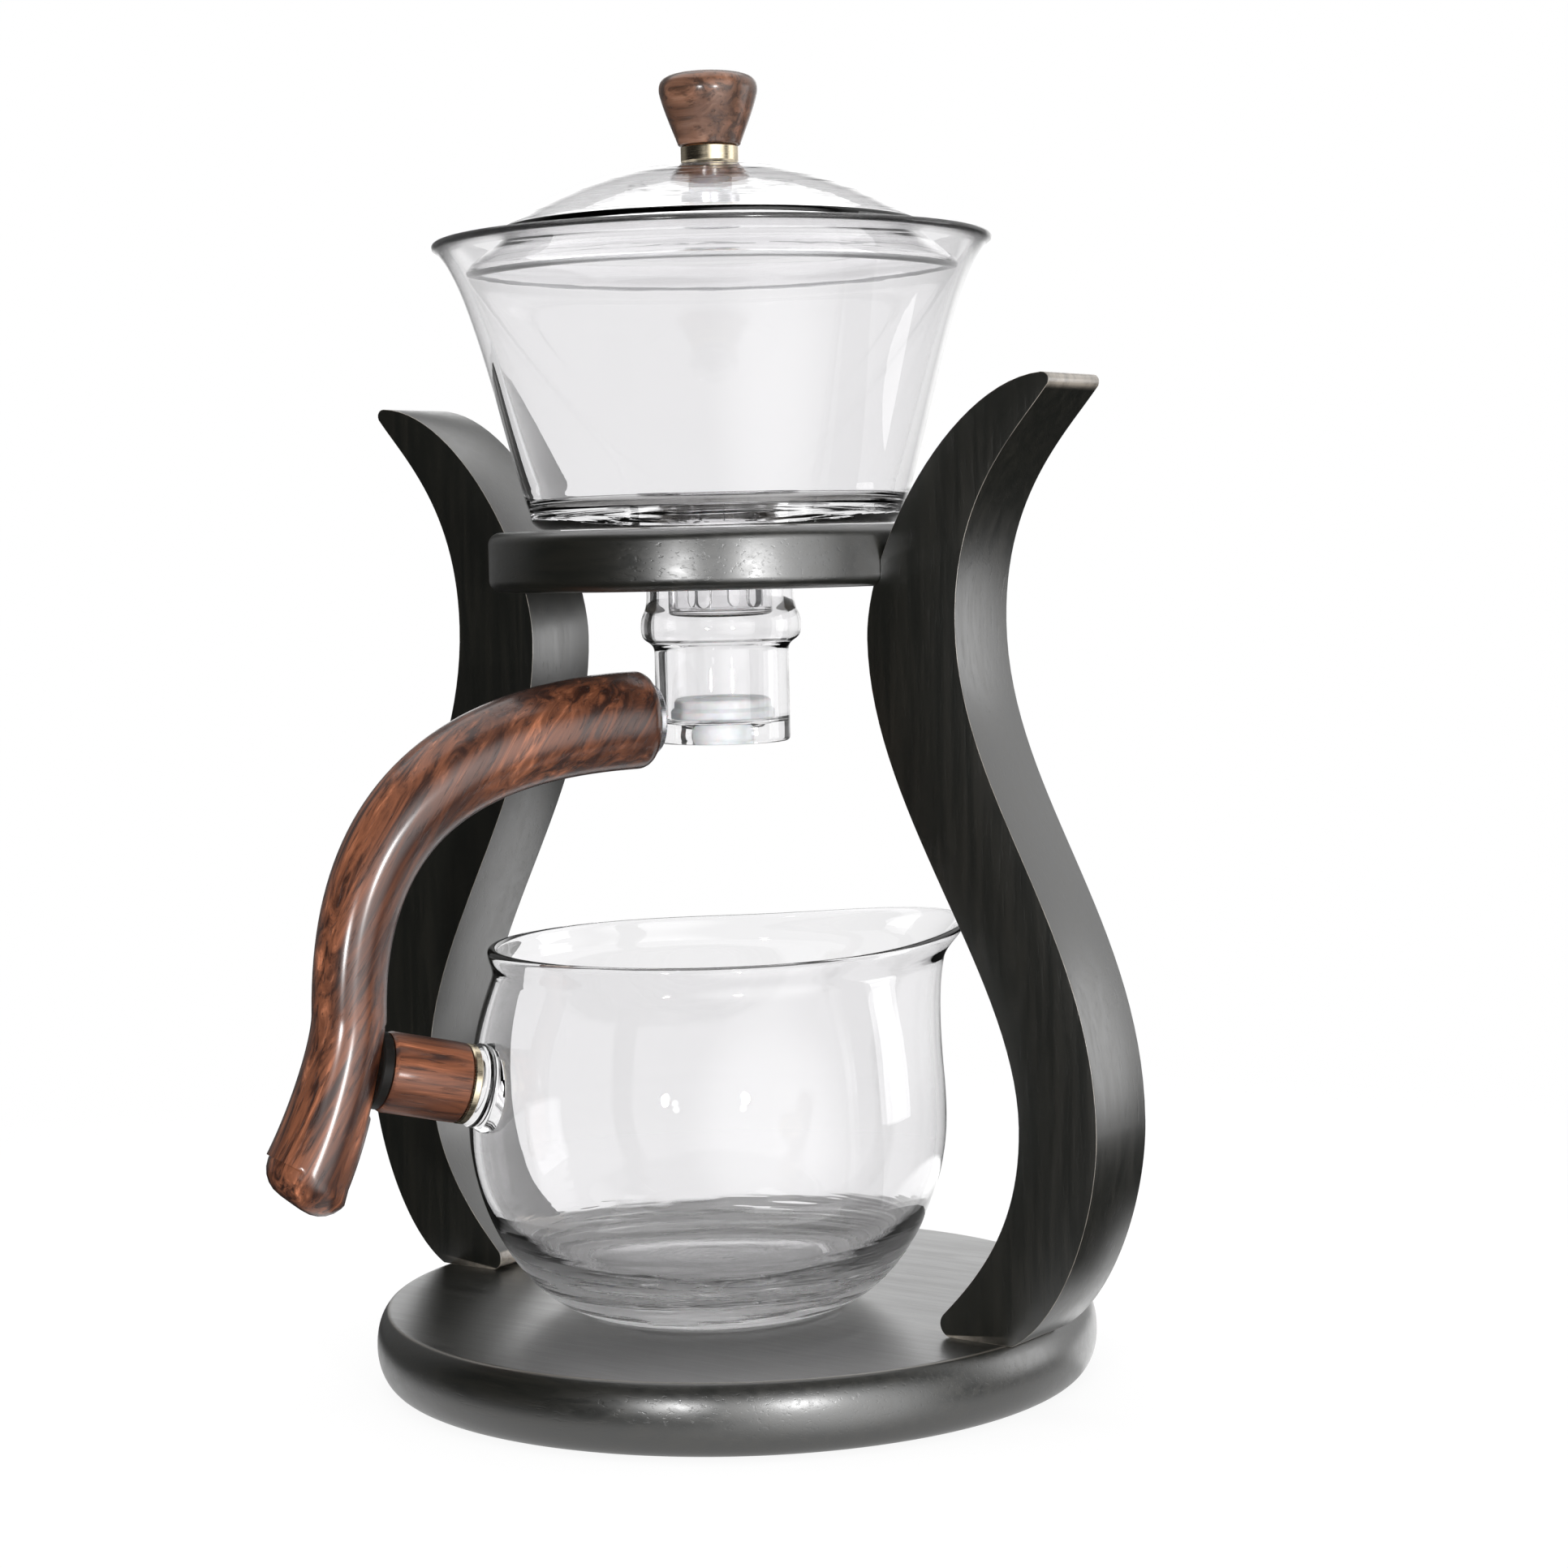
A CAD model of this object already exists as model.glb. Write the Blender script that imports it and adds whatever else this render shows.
"""Gravity coffee dripper on a lyre stand: its finished pieces, materials, light and camera.

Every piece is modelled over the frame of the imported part. Lengths in the code are millimetres
until the helpers turn them into metres. Outlines are lists of (radius, height) points.
"""

import math

import bpy
from mathutils import Matrix, Vector


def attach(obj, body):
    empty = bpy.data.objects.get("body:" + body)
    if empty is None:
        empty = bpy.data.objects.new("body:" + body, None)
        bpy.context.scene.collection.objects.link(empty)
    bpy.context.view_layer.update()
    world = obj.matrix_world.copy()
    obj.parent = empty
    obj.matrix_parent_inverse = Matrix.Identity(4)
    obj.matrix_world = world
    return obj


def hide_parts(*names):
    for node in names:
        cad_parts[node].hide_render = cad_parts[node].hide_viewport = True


bl_info = {
    "name": "Gravity coffee dripper",
    "version": (1, 0, 0),
    "blender": (4, 5, 0),
    "location": "3D View > Sidebar > Dripper",
    "description": "Models the finished pieces of a coffee dripper over its packed part",
    "category": "Add Mesh",
}

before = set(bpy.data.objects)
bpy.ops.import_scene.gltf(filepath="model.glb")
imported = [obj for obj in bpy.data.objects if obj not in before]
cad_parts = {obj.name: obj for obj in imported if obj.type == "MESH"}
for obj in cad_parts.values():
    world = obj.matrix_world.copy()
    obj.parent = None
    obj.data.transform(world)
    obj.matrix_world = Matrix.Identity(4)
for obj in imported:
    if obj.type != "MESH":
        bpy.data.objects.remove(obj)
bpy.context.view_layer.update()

MM = 0.001
QUARTER = math.pi / 2
POLE = 0.001  # radius in mm at which a ring counts as a point on the axis
MERGE = 0.000002  # metres within which vertices are merged
SOLVERS = ("MANIFOLD", "EXACT") * 3  # tried in turn until a cut comes out right
LEAST_CHANGE, MOST_CHANGE = 0.0005, 0.1  # share of a piece's volume that any cut or join changes


# ---- Sizes and colours ----


def length(name, value, description):
    """Length property given in millimetres."""
    return bpy.props.FloatProperty(
        name=name, description=description, default=value * MM, unit="LENGTH", subtype="DISTANCE"
    )


def turn_of(name, degrees, description):
    """Angle property given in degrees."""
    return bpy.props.FloatProperty(
        name=name, description=description, default=math.radians(degrees), unit="ROTATION", subtype="ANGLE"
    )


def tint(name, value, description):
    """Linear colour property."""
    return bpy.props.FloatVectorProperty(
        name=name, description=description, default=value, size=3, subtype="COLOR", min=0, max=1
    )


class DripperStand(bpy.types.PropertyGroup):
    """Sizes of the stand"""

    base_r: length("Base radius", 80, "Widest radius of the base disc")
    base_t: length("Base thickness", 15.6, "Thickness of the base disc")
    lift: length("Lift", 0.4, "How far the pad holds the base off the table")
    post_t: length("Post thickness", 20, "Thickness of a post, front to back")
    post_round: length("Post edge", 0.9, "Rounding of the posts' edges")
    ring_r: length("Ring radius", 50.5, "Widest radius of the support ring")
    ring_t: length("Ring thickness", 13, "Thickness of the support ring")
    ring_round: length("Ring edge", 2.6, "Rounding of the ring's edges")
    ring_hole: length("Ring hole", 19, "Radius of the ring's hole")


class DripperGlass(bpy.types.PropertyGroup):
    """Wall and tints of the glass"""

    wall: length("Wall", 2.2, "Wall of the jug and of the lid")
    clear: tint("Clear", (0.925, 0.921, 0.928), "Tint of the glass face on")
    edge: tint("Edge", (0.62, 0.63, 0.64), "Tint of the glass at a grazing angle")
    ground: tint("Ground", (0.30, 0.30, 0.31), "Tint of a ground cut or rim")


class DripperHandle(bpy.types.PropertyGroup):
    """Place and size of the handle and its peg"""

    turn: turn_of("Turn", 241.5, "Direction of the handle round the jug")
    pull: length("Pull", 9, "How far the jug stands in front of the drain")
    peg_tilt: turn_of("Peg tilt", 13.5, "Rise of the peg from the level")
    peg_height: length("Peg height", 40, "Height at which the peg's axis meets the jug's axis")
    peg_r: length("Peg radius", 8.6, "Radius of the wooden peg")


class DripperFinish(bpy.types.PropertyGroup):
    """Colours of the stain, the woods, the metals and the soft parts"""

    stain: tint("Stain", (0.0048, 0.0054, 0.0036), "Black stain on the stand")
    stain_worn: tint("Worn stain", (0.42, 0.37, 0.31), "Wood that shows through the stain on an edge")
    red_dark: tint("Dark grain", (0.038, 0.014, 0.009), "Dark streaks of the red wood")
    red_mid: tint("Mid grain", (0.25, 0.084, 0.038), "Body colour of the red wood")
    red_light: tint("Light grain", (0.80, 0.29, 0.14), "Light streaks of the red wood")
    brown_dark: tint("Dark walnut", (0.065, 0.032, 0.020), "Dark patches of the knob")
    brown_mid: tint("Mid walnut", (0.26, 0.118, 0.068), "Body colour of the knob")
    brown_light: tint("Light walnut", (0.48, 0.27, 0.18), "Light patches of the knob")
    beech_dark: tint("Dark beech", (0.40, 0.24, 0.12), "Dark grain of the dowels")
    beech_light: tint("Light beech", (0.62, 0.42, 0.24), "Light grain of the dowels")
    brass: tint("Brass", (0.80, 0.69, 0.50), "Brass rings")
    steel: tint("Steel", (0.5, 0.5, 0.52), "Steel cup, nut and screws")
    silicone: tint("Silicone", (0.56, 0.58, 0.59), "Silicone stopper")
    washer: tint("Washer", (0.5, 0.5, 0.52), "Clear silicone washer under the lid")
    collar: tint("Collar", (0.012, 0.011, 0.010), "Dark collar between peg and handle")
    foam_dark: tint("Dark foam", (0.012, 0.012, 0.012), "Cells of the pad")
    foam_light: tint("Light foam", (0.035, 0.035, 0.036), "Walls between the cells of the pad")
    backdrop: bpy.props.FloatProperty(
        name="Backdrop", description="Brightness of the backdrop that the camera sees", default=1.0, min=0
    )


GROUPS = (
    ("dripper_stand", DripperStand),
    ("dripper_glass", DripperGlass),
    ("dripper_handle", DripperHandle),
    ("dripper_finish", DripperFinish),
)


def sizes(group):
    """Values of a property group, with its lengths in millimetres."""
    values = getattr(bpy.context.scene, group)
    kinds = values.bl_rna.properties
    return {
        key: getattr(values, key) / MM if kinds[key].subtype == "DISTANCE" else getattr(values, key)
        for key in values.__annotations__
    }


# ---- Heights of the stand and the glass above the table, in mm ----

BASE_TOP = 16.0
RING_MID = 180.0
BOWL_Z = 186.8
BOWL_FLOOR = 191.8
RIM_Z = 248.8
TUBE_Z = 139.6
TUBE_FLOOR = 144.0
BULGE_Z = 164.8
JUG_Z = 16.3
LID_EDGE_Z = RIM_Z - 7.5
DOME_Z = LID_EDGE_Z + 11


# ---- Lengths that several pieces share, in mm ----

TUBE_R = 14.8  # drain tube, outside
JUG_R = 52.5  # jug's belly, outside
DOME_H = 13.4  # rise of the lid's dome
SEAT_GAP = 0.3  # stopper over the drain's floor
STOPPER_T = 4.7  # stopper's disc
MAGNET_GAP = 3.5  # drain tube to the handle's magnet
CUP_PROUD = 1.6  # magnet's cup beyond the end of the handle
SCREW_BORE = 2.1  # bore of the lid's fittings
ROD_BORE = 2.6  # bore of the peg's fittings


# ---- Lengths along the peg, in mm ----

RING_T = 1.9  # brass ring
PEG_L = 17.8  # wooden peg
COLLAR_T = 2.6  # dark collar


# ---- Outlines ----


def on_curve(points, t):
    """Point of a cubic curve."""
    a, b, c, d = (Vector(p) for p in points)
    u = 1 - t
    return tuple(u * u * u * a + 3 * u * u * t * b + 3 * u * t * t * c + t * t * t * d)


def bezier(points, steps):
    """Points along a cubic curve, without its first point."""
    return [on_curve(points, i / steps) for i in range(1, steps + 1)]


def arc(centre, radius, start, stop, steps=8):
    """Points round an arc, its ends included, angles in degrees."""
    angles = [math.radians(start + (stop - start) * i / steps) for i in range(steps + 1)]
    return [(centre[0] + radius * math.cos(a), centre[1] + radius * math.sin(a)) for a in angles]


def smooth(t):
    """Smooth step from 0 to 1."""
    t = min(1.0, max(0.0, t))
    return t * t * (3 - 2 * t)


def at_height(outline, z):
    """Radius of an outline, listed by rising height, at a height."""
    for (r0, z0), (r1, z1) in zip(outline, outline[1:]):
        if z0 <= z <= z1 and z1 > z0:
            return r0 + (r1 - r0) * (z - z0) / (z1 - z0)
    return outline[-1][0]


# ---- Modelling by hand ----


def clear_selection():
    """Leave edit mode and deselect everything."""
    if bpy.context.object and bpy.context.object.mode != "OBJECT":
        bpy.ops.object.mode_set(mode="OBJECT")
    bpy.ops.object.select_all(action="DESELECT")


def edit():
    """Go into edit mode with everything selected."""
    bpy.ops.object.mode_set(mode="EDIT")
    bpy.ops.mesh.select_mode(type="VERT")
    bpy.ops.mesh.select_all(action="SELECT")


def select_where(piece, test):
    """Select the vertices of a piece in edit mode by a test of their place in its mesh."""
    bpy.ops.mesh.select_all(action="DESELECT")
    bpy.ops.object.mode_set(mode="OBJECT")
    for vertex in piece.data.vertices:
        vertex.select = test(vertex.co)
    bpy.ops.object.mode_set(mode="EDIT")


def pick(piece):
    """Make a piece the only selected one."""
    clear_selection()
    piece.select_set(True)
    bpy.context.view_layer.objects.active = piece


def close_up():
    """Merge the doubles of the mesh in edit mode and turn its faces outwards."""
    bpy.ops.mesh.select_all(action="SELECT")
    bpy.ops.mesh.remove_doubles(threshold=MERGE)
    bpy.ops.mesh.normals_make_consistent(inside=False)
    bpy.ops.object.mode_set(mode="OBJECT")


def named(name):
    """Name the active piece and put its place into its mesh."""
    piece = bpy.context.object
    piece.name = name
    piece.data.name = name
    bpy.ops.object.transform_apply(location=True, rotation=True, scale=True)
    return piece


def copied(piece, name):
    """Copy of a piece, with its own mesh."""
    pick(piece)
    bpy.ops.object.duplicate()
    return named(name)


def soften(piece, angle):
    """Shade a piece smooth, with creases sharper than the angle kept."""
    pick(piece)
    bpy.ops.object.shade_smooth_by_angle(angle=math.radians(angle))


def apply_modifier(piece, kind, **settings):
    """Add a modifier with its settings and apply it."""
    pick(piece)
    modifier = piece.modifiers.new(kind.lower(), kind)
    for key, value in settings.items():
        setattr(modifier, key, value)
    bpy.ops.object.modifier_apply(modifier=modifier.name)


def round_edges(piece, width, segments, angle):
    """Round the edges of a piece that are sharper than the angle."""
    apply_modifier(
        piece, "BEVEL", width=width * MM, segments=segments, limit_method="ANGLE",
        angle_limit=math.radians(angle),
    )


def enclosed(mesh):
    """Volume that a mesh encloses."""
    return sum(face.area * face.normal.dot(face.center) for face in mesh.polygons) / 3


def carve(piece, cutter, operation="DIFFERENCE"):
    """Cut a piece with another one, or join them, and remove the cutter.

    A solver now and then leaves a mesh empty or uncut, so the volume is checked after each try.
    """
    uncut = piece.data.copy()
    sign = 1 if operation == "UNION" else -1
    for solver in SOLVERS:
        apply_modifier(piece, "BOOLEAN", object=cutter, operation=operation, solver=solver)
        change = sign * (enclosed(piece.data) / enclosed(uncut) - 1)
        if LEAST_CHANGE < change < MOST_CHANGE:
            break
        spoilt, piece.data = piece.data, uncut.copy()
        bpy.data.meshes.remove(spoilt)
    else:
        raise RuntimeError("No solver cut " + piece.name)
    bpy.data.meshes.remove(uncut)
    bpy.data.objects.remove(cutter, do_unlink=True)


def carve_copies(piece, cutter, places):
    """Cut a piece with a copy of the cutter at each place, and remove the cutter."""
    for matrix in places:
        cut = copied(cutter, "cut")
        place(cut, matrix)
        carve(piece, cut)
    bpy.data.objects.remove(cutter, do_unlink=True)


def turned(name, outline, sides=192, angle=35):
    """Turn a closed outline, extruding it ring by ring."""
    clear_selection()
    rings = [(max(r, POLE) * MM, z * MM) for r, z in outline]
    r, z = rings[0]
    bpy.ops.mesh.primitive_circle_add(vertices=sides, radius=r, location=(0, 0, z), fill_type="NOTHING")
    edit()
    hollow = outline[0][0] > POLE
    for r_next, z_next in rings[1:] + rings[:1] * hollow:
        bpy.ops.mesh.extrude_region_move(TRANSFORM_OT_translate={"value": (0, 0, z_next - z)})
        scale = r_next / r
        bpy.ops.transform.resize(value=(scale, scale, 1), center_override=(0, 0, z_next))
        r, z = r_next, z_next
    close_up()
    piece = named(name)
    soften(piece, angle)
    return piece


def follow(stations):
    """Extrude what is selected from station to station, each (x, z, turn, half size) in mm and radians."""
    for (x0, z0, turn0, half0), (x, z, turn, half) in zip(stations, stations[1:]):
        centre = (x * MM, 0, z * MM)
        scale = half / half0
        bpy.ops.mesh.extrude_region_move(
            TRANSFORM_OT_translate={"value": ((x - x0) * MM, 0, (z - z0) * MM)}
        )
        bpy.ops.transform.rotate(value=turn - turn0, orient_axis="Y", center_override=centre)
        bpy.ops.transform.resize(value=(scale, scale, scale), center_override=centre)


def place(piece, *matrices):
    """Move a finished mesh by matrices, the first one last."""
    whole = Matrix.Identity(4)
    for matrix in matrices:
        whole = whole @ matrix
    piece.matrix_world = whole
    pick(piece)
    bpy.ops.object.transform_apply(location=True, rotation=True, scale=True)


def jug_frame():
    """Frame of the jug: its foot's centre, with +X out along the handle."""
    handle = sizes("dripper_handle")
    foot = Matrix.Translation((0, -handle["pull"] * MM, JUG_Z * MM))
    return foot @ Matrix.Rotation(handle["turn"], 4, "Z")


def peg_in_jug():
    """Frame of the peg in the jug's frame: +Z out along it from the jug's axis."""
    handle = sizes("dripper_handle")
    lift = Matrix.Translation((0, 0, handle["peg_height"] * MM))
    return lift @ Matrix.Rotation(QUARTER - handle["peg_tilt"], 4, "Y")


def dress(piece, look):
    """Give a piece one of the mixed materials alone."""
    piece.data.materials.clear()
    piece.data.materials.append(SHARED[look])


def finish_piece(piece, body, slot, look, node):
    """Dress a piece, name its body and slot, and let it stand for its CAD node. Glass casts no shadow."""
    dress(piece, look)
    piece.visible_shadow = slot != "clear_glass"
    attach(piece, body)
    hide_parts(node)


def fitting(name, base, outline, sides, body, look, node, places=(), slot=None):
    """Turn a small fitting from the height of its base, put it in its place and dress it."""
    piece = turned(name, [(r, base + rise) for r, rise in outline], sides, 30)
    if places:
        place(piece, *places)
    finish_piece(piece, body, slot or look, look, node)


# ---- Shader building ----

SHARED = {}  # shader groups and materials by name, once they are mixed


def tree_of(name):
    """New material, with its node tree and its shader."""
    material = bpy.data.materials.new(name)
    material.use_nodes = True
    return material, material.node_tree, material.node_tree.nodes["Principled BSDF"]


def join(tree, value, socket):
    """Link a value to a socket where it is an output, or else set it there."""
    if isinstance(value, bpy.types.NodeSocket):
        tree.links.new(value, socket)
    elif socket.type == "RGBA" and len(value) == 3:
        socket.default_value = (*value, 1)
    else:
        socket.default_value = value


def add(tree, kind, inputs=(), **settings):
    """Add a node, set its properties, and join its inputs by index or name."""
    node = tree.nodes.new(kind)
    for key, value in settings.items():
        setattr(node, key, value)
    for key, value in dict(inputs).items():
        join(tree, value, node.inputs[key])
    return node


def feed(tree, node, **inputs):
    """Join a node's inputs, whose names have _ for a space."""
    for key, value in inputs.items():
        join(tree, value, node.inputs[key.replace("_", " ")])


def math_node(tree, operation, a, b=0.0, clamp=False):
    """Output of a math node."""
    return add(tree, "ShaderNodeMath", {0: a, 1: b}, operation=operation, use_clamp=clamp).outputs[0]


def times(tree, a, b):
    """Product of two values."""
    return math_node(tree, "MULTIPLY", a, b)


def stretched(tree, vector, factors):
    """Vector multiplied by factors along its axes."""
    return add(tree, "ShaderNodeVectorMath", {0: vector, 1: factors}, operation="MULTIPLY").outputs[0]


def measured(tree, operation, a, b=(0, 0, 0)):
    """Number that a vector operation gives."""
    return add(tree, "ShaderNodeVectorMath", {0: a, 1: b}, operation=operation).outputs["Value"]


def attribute(tree, name):
    """Value of a mesh attribute."""
    return add(tree, "ShaderNodeAttribute", attribute_name=name).outputs["Fac"]


def facing(tree):
    """How far the surface turns away from the ray."""
    return add(tree, "ShaderNodeLayerWeight", {"Blend": 0.5}).outputs["Facing"]


def remap(tree, value, low, high, to_low=0.0, to_high=1.0, smoothly=True):
    """Value taken from one range to another and held within it."""
    return add(
        tree, "ShaderNodeMapRange",
        {"Value": value, "From Min": low, "From Max": high, "To Min": to_low, "To Max": to_high},
        interpolation_type="SMOOTHSTEP" if smoothly else "LINEAR",
    ).outputs["Result"]


def blend_colour(tree, factor, a, b):
    """Output of a colour mix."""
    node = add(tree, "ShaderNodeMix", data_type="RGBA")
    for socket, value in ((node.inputs["Factor"], factor), (node.inputs[6], a), (node.inputs[7], b)):
        join(tree, value, socket)
    return node.outputs[2]


def noise(tree, vector, scale, detail, rough, distort=0.0):
    """Factor of a noise texture."""
    return add(
        tree, "ShaderNodeTexNoise",
        {"Vector": vector, "Scale": scale, "Detail": detail, "Roughness": rough, "Distortion": distort},
    ).outputs["Fac"]


def object_place(tree, turn=(0, 0, 0), shift=(0, 0, 0)):
    """Object coordinates, shifted and turned."""
    place_in = add(tree, "ShaderNodeTexCoord").outputs["Object"]
    return add(
        tree, "ShaderNodeMapping", {"Vector": place_in, "Location": shift, "Rotation": turn}
    ).outputs["Vector"]


def bump(tree, shader, height, strength, distance):
    """Feed a height to the shader's normal."""
    node = add(tree, "ShaderNodeBump", {"Height": height, "Strength": strength, "Distance": distance})
    feed(tree, shader, Normal=node.outputs["Normal"])


def new_group(name, inputs, outputs):
    """Shader group with a Vector, numbers and outputs: itself, its inputs and its output node."""
    group = bpy.data.node_groups.new(name, "ShaderNodeTree")
    group.interface.new_socket(name="Vector", in_out="INPUT", socket_type="NodeSocketVector")
    for title, value in inputs.items():
        socket = group.interface.new_socket(name=title, in_out="INPUT", socket_type="NodeSocketFloat")
        socket.default_value = value
    for title in outputs:
        group.interface.new_socket(name=title, in_out="OUTPUT", socket_type="NodeSocketFloat")
    return group, group.nodes.new("NodeGroupInput").outputs, group.nodes.new("NodeGroupOutput")


def wood_grain_group():
    """Streaks and open pores of wood that runs along Z."""
    numbers = {"Streak Scale": 300.0, "Pore Scale": 900.0, "Waviness": 0.6}
    group, given, out = new_group("wood_grain", numbers, ("Streaks", "Pores", "Cloud"))
    along = stretched(group, given["Vector"], (1.0, 1.0, 0.07))
    fine = stretched(group, given["Vector"], (1.0, 1.0, 0.11))
    pores = noise(group, fine, given["Pore Scale"], 3, 0.5, 0.1)
    feed(
        group, out,
        Streaks=noise(group, along, given["Streak Scale"], 7, 0.62, given["Waviness"]),
        Pores=remap(group, pores, 0.30, 0.42), Cloud=noise(group, along, 60, 3, 0.5, 0.8),
    )
    return group


def edge_wear_group():
    """Broken line of wear where the edge attribute is high."""
    group, given, out = new_group("edge_wear", {"Edge": 0.0, "Amount": 0.5}, ("Worn",))
    broken = noise(group, given["Vector"], 150, 6, 0.7)
    limit = math_node(group, "SUBTRACT", 1.0, given["Amount"])
    spots = remap(group, broken, limit, math_node(group, "ADD", limit, 0.22), smoothly=False)
    line = remap(group, spots, 0.0, 1.0, 0.3, 1.0, False)
    crest = math_node(group, "POWER", given["Edge"], 2.0)
    feed(group, out, Worn=math_node(group, "MULTIPLY", line, crest, clamp=True))
    return group


def use_group(tree, group, **inputs):
    """Place a shader group, join its inputs and give its outputs."""
    node = add(tree, "ShaderNodeGroup", node_tree=SHARED[group])
    feed(tree, node, **inputs)
    return node.outputs


def stained_wood(name, turn, wear):
    """Black stained wood with a satin sheen, faint grain and pale worn edges."""
    look = sizes("dripper_finish")
    material, tree, shader = tree_of(name)
    place_in = object_place(tree, turn)
    grain = use_group(tree, "wood_grain", Vector=place_in, Streak_Scale=420.0, Pore_Scale=1500.0)
    worn = use_group(tree, "edge_wear", Edge=attribute(tree, "edge"), Vector=place_in, Amount=wear)["Worn"]
    warm = tuple(c * k for c, k in zip(look["stain"], (1.9, 1.55, 1.3)))
    colour = blend_colour(tree, remap(tree, grain["Streaks"], 0.35, 0.7), look["stain"], warm)
    feed(
        tree, shader, Base_Color=blend_colour(tree, worn, colour, look["stain_worn"]),
        Roughness=remap(tree, grain["Streaks"], 0.3, 0.7, 0.30, 0.38), IOR=1.6, Specular_IOR_Level=1.0,
        Coat_Weight=0.5, Coat_Roughness=0.3,
    )
    height = math_node(tree, "ADD", times(tree, grain["Streaks"], 0.5), grain["Pores"])
    bump(tree, shader, height, 0.10, 0.0004)
    return material


def oiled_wood(name, kind, turn, light=1.0, shine=0.9):
    """Oiled wood of a kind, red or brown, with dark streaks and fine pores."""
    look = sizes("dripper_finish")
    dark = look[kind + "_dark"]
    mid, pale = (tuple(c * light for c in look[kind + end]) for end in ("_mid", "_light"))
    material, tree, shader = tree_of(name)
    place_in = object_place(tree, turn)
    grain = use_group(
        tree, "wood_grain", Vector=place_in, Streak_Scale=330.0, Pore_Scale=1300.0, Waviness=0.9
    )
    pore_depth = math_node(tree, "SUBTRACT", 1.0, grain["Pores"])
    colour = blend_colour(tree, remap(tree, grain["Streaks"], 0.36, 0.56), dark, mid)
    colour = blend_colour(tree, remap(tree, grain["Streaks"], 0.54, 0.76), colour, pale)
    for share in (
        remap(tree, grain["Cloud"], 0.60, 0.35, 0.0, 0.75), times(tree, pore_depth, 0.6),
        remap(tree, facing(tree), 0.35, 0.95, 0.0, 0.75),
    ):
        colour = blend_colour(tree, share, colour, dark)
    feed(
        tree, shader, Base_Color=colour, Roughness=remap(tree, grain["Streaks"], 0.3, 0.7, 0.42, 0.55),
        Specular_IOR_Level=0.25, Coat_Weight=shine, Coat_Roughness=0.2,
    )
    bump(tree, shader, grain["Pores"], 0.6, 0.0003)
    return material


def metal(name, colour, rough):
    """Turned metal, its fine lathe lines round the Z axis."""
    material, tree, shader = tree_of(name)
    place_in = object_place(tree)
    brushed = noise(tree, stretched(tree, place_in, (0.02, 0.02, 1.0)), 9000, 2, 0.6)
    stain = remap(tree, noise(tree, place_in, 240, 4, 0.6), 0.35, 0.7)
    dull = tuple(c * 0.72 for c in colour)
    feed(
        tree, shader, Base_Color=blend_colour(tree, stain, colour, dull),
        Roughness=remap(tree, brushed, 0.3, 0.7, rough, rough + 0.12), Metallic=1.0,
    )
    bump(tree, shader, brushed, 0.05, 0.0001)
    return material


def glass(name, axis_y=0.0):
    """Clear blown glass: darker along its walls, rippled and frosted where wavy, grey where ground."""
    look = sizes("dripper_glass")
    material, tree, shader = tree_of(name)
    rim = math_node(tree, "POWER", facing(tree), 11.0)
    ground, wavy = attribute(tree, "ground"), attribute(tree, "wavy")
    place_in = object_place(tree, shift=(0, -axis_y * MM, 0))
    x, y, z = add(tree, "ShaderNodeSeparateXYZ", {0: place_in}).outputs
    out = measured(tree, "LENGTH", stretched(tree, place_in, (1, 1, 0)))
    rings = add(tree, "ShaderNodeCombineXYZ", {
        0: times(tree, out, 300.0), 1: times(tree, z, 300.0),
        2: times(tree, math_node(tree, "ADD", x, y), 30.0),
    }).outputs[0]
    waves = noise(tree, rings, 1.0, 2, 0.5)
    frost = times(tree, remap(tree, wavy, 0.08, 0.4), remap(tree, waves, 0.42, 0.56, 0.0, 0.45))
    colour = blend_colour(tree, rim, look["clear"], look["edge"])
    feed(
        tree, shader, Base_Color=blend_colour(tree, remap(tree, ground, 0.5, 1.0), colour, look["ground"]),
        Roughness=math_node(tree, "MAXIMUM", frost, times(tree, ground, 0.5)), IOR=1.5,
        Transmission_Weight=1.0,
    )
    swell = times(tree, noise(tree, place_in, 45, 2, 0.4), 0.015)
    bump(tree, shader, math_node(tree, "ADD", times(tree, wavy, waves), swell), 1.0, 0.002)
    return material


def silicone(name, colour, clear):
    """Soft translucent silicone with a faint cloud in it."""
    material, tree, shader = tree_of(name)
    cloud = noise(tree, object_place(tree), 400, 3, 0.5)
    dim = tuple(c * 0.86 for c in colour)
    feed(
        tree, shader, Base_Color=blend_colour(tree, remap(tree, cloud, 0.3, 0.7), colour, dim),
        Roughness=remap(tree, cloud, 0.3, 0.7, 0.32, 0.45), IOR=1.41, Specular_IOR_Level=0.2,
        Transmission_Weight=clear, Subsurface_Weight=0.3, Subsurface_Scale=0.004,
    )
    bump(tree, shader, cloud, 0.04, 0.0003)
    return material


def foam(name):
    """Dark closed-cell foam."""
    look = sizes("dripper_finish")
    material, tree, shader = tree_of(name)
    cells = add(
        tree, "ShaderNodeTexVoronoi", {"Vector": object_place(tree), "Scale": 900.0}
    ).outputs["Distance"]
    wall = remap(tree, cells, 0.0, 0.6)
    feed(
        tree, shader, Base_Color=blend_colour(tree, wall, look["foam_dark"], look["foam_light"]),
        Roughness=remap(tree, cells, 0.0, 0.6, 0.95, 0.8),
    )
    bump(tree, shader, cells, 0.4, 0.0004)
    return material


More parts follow.
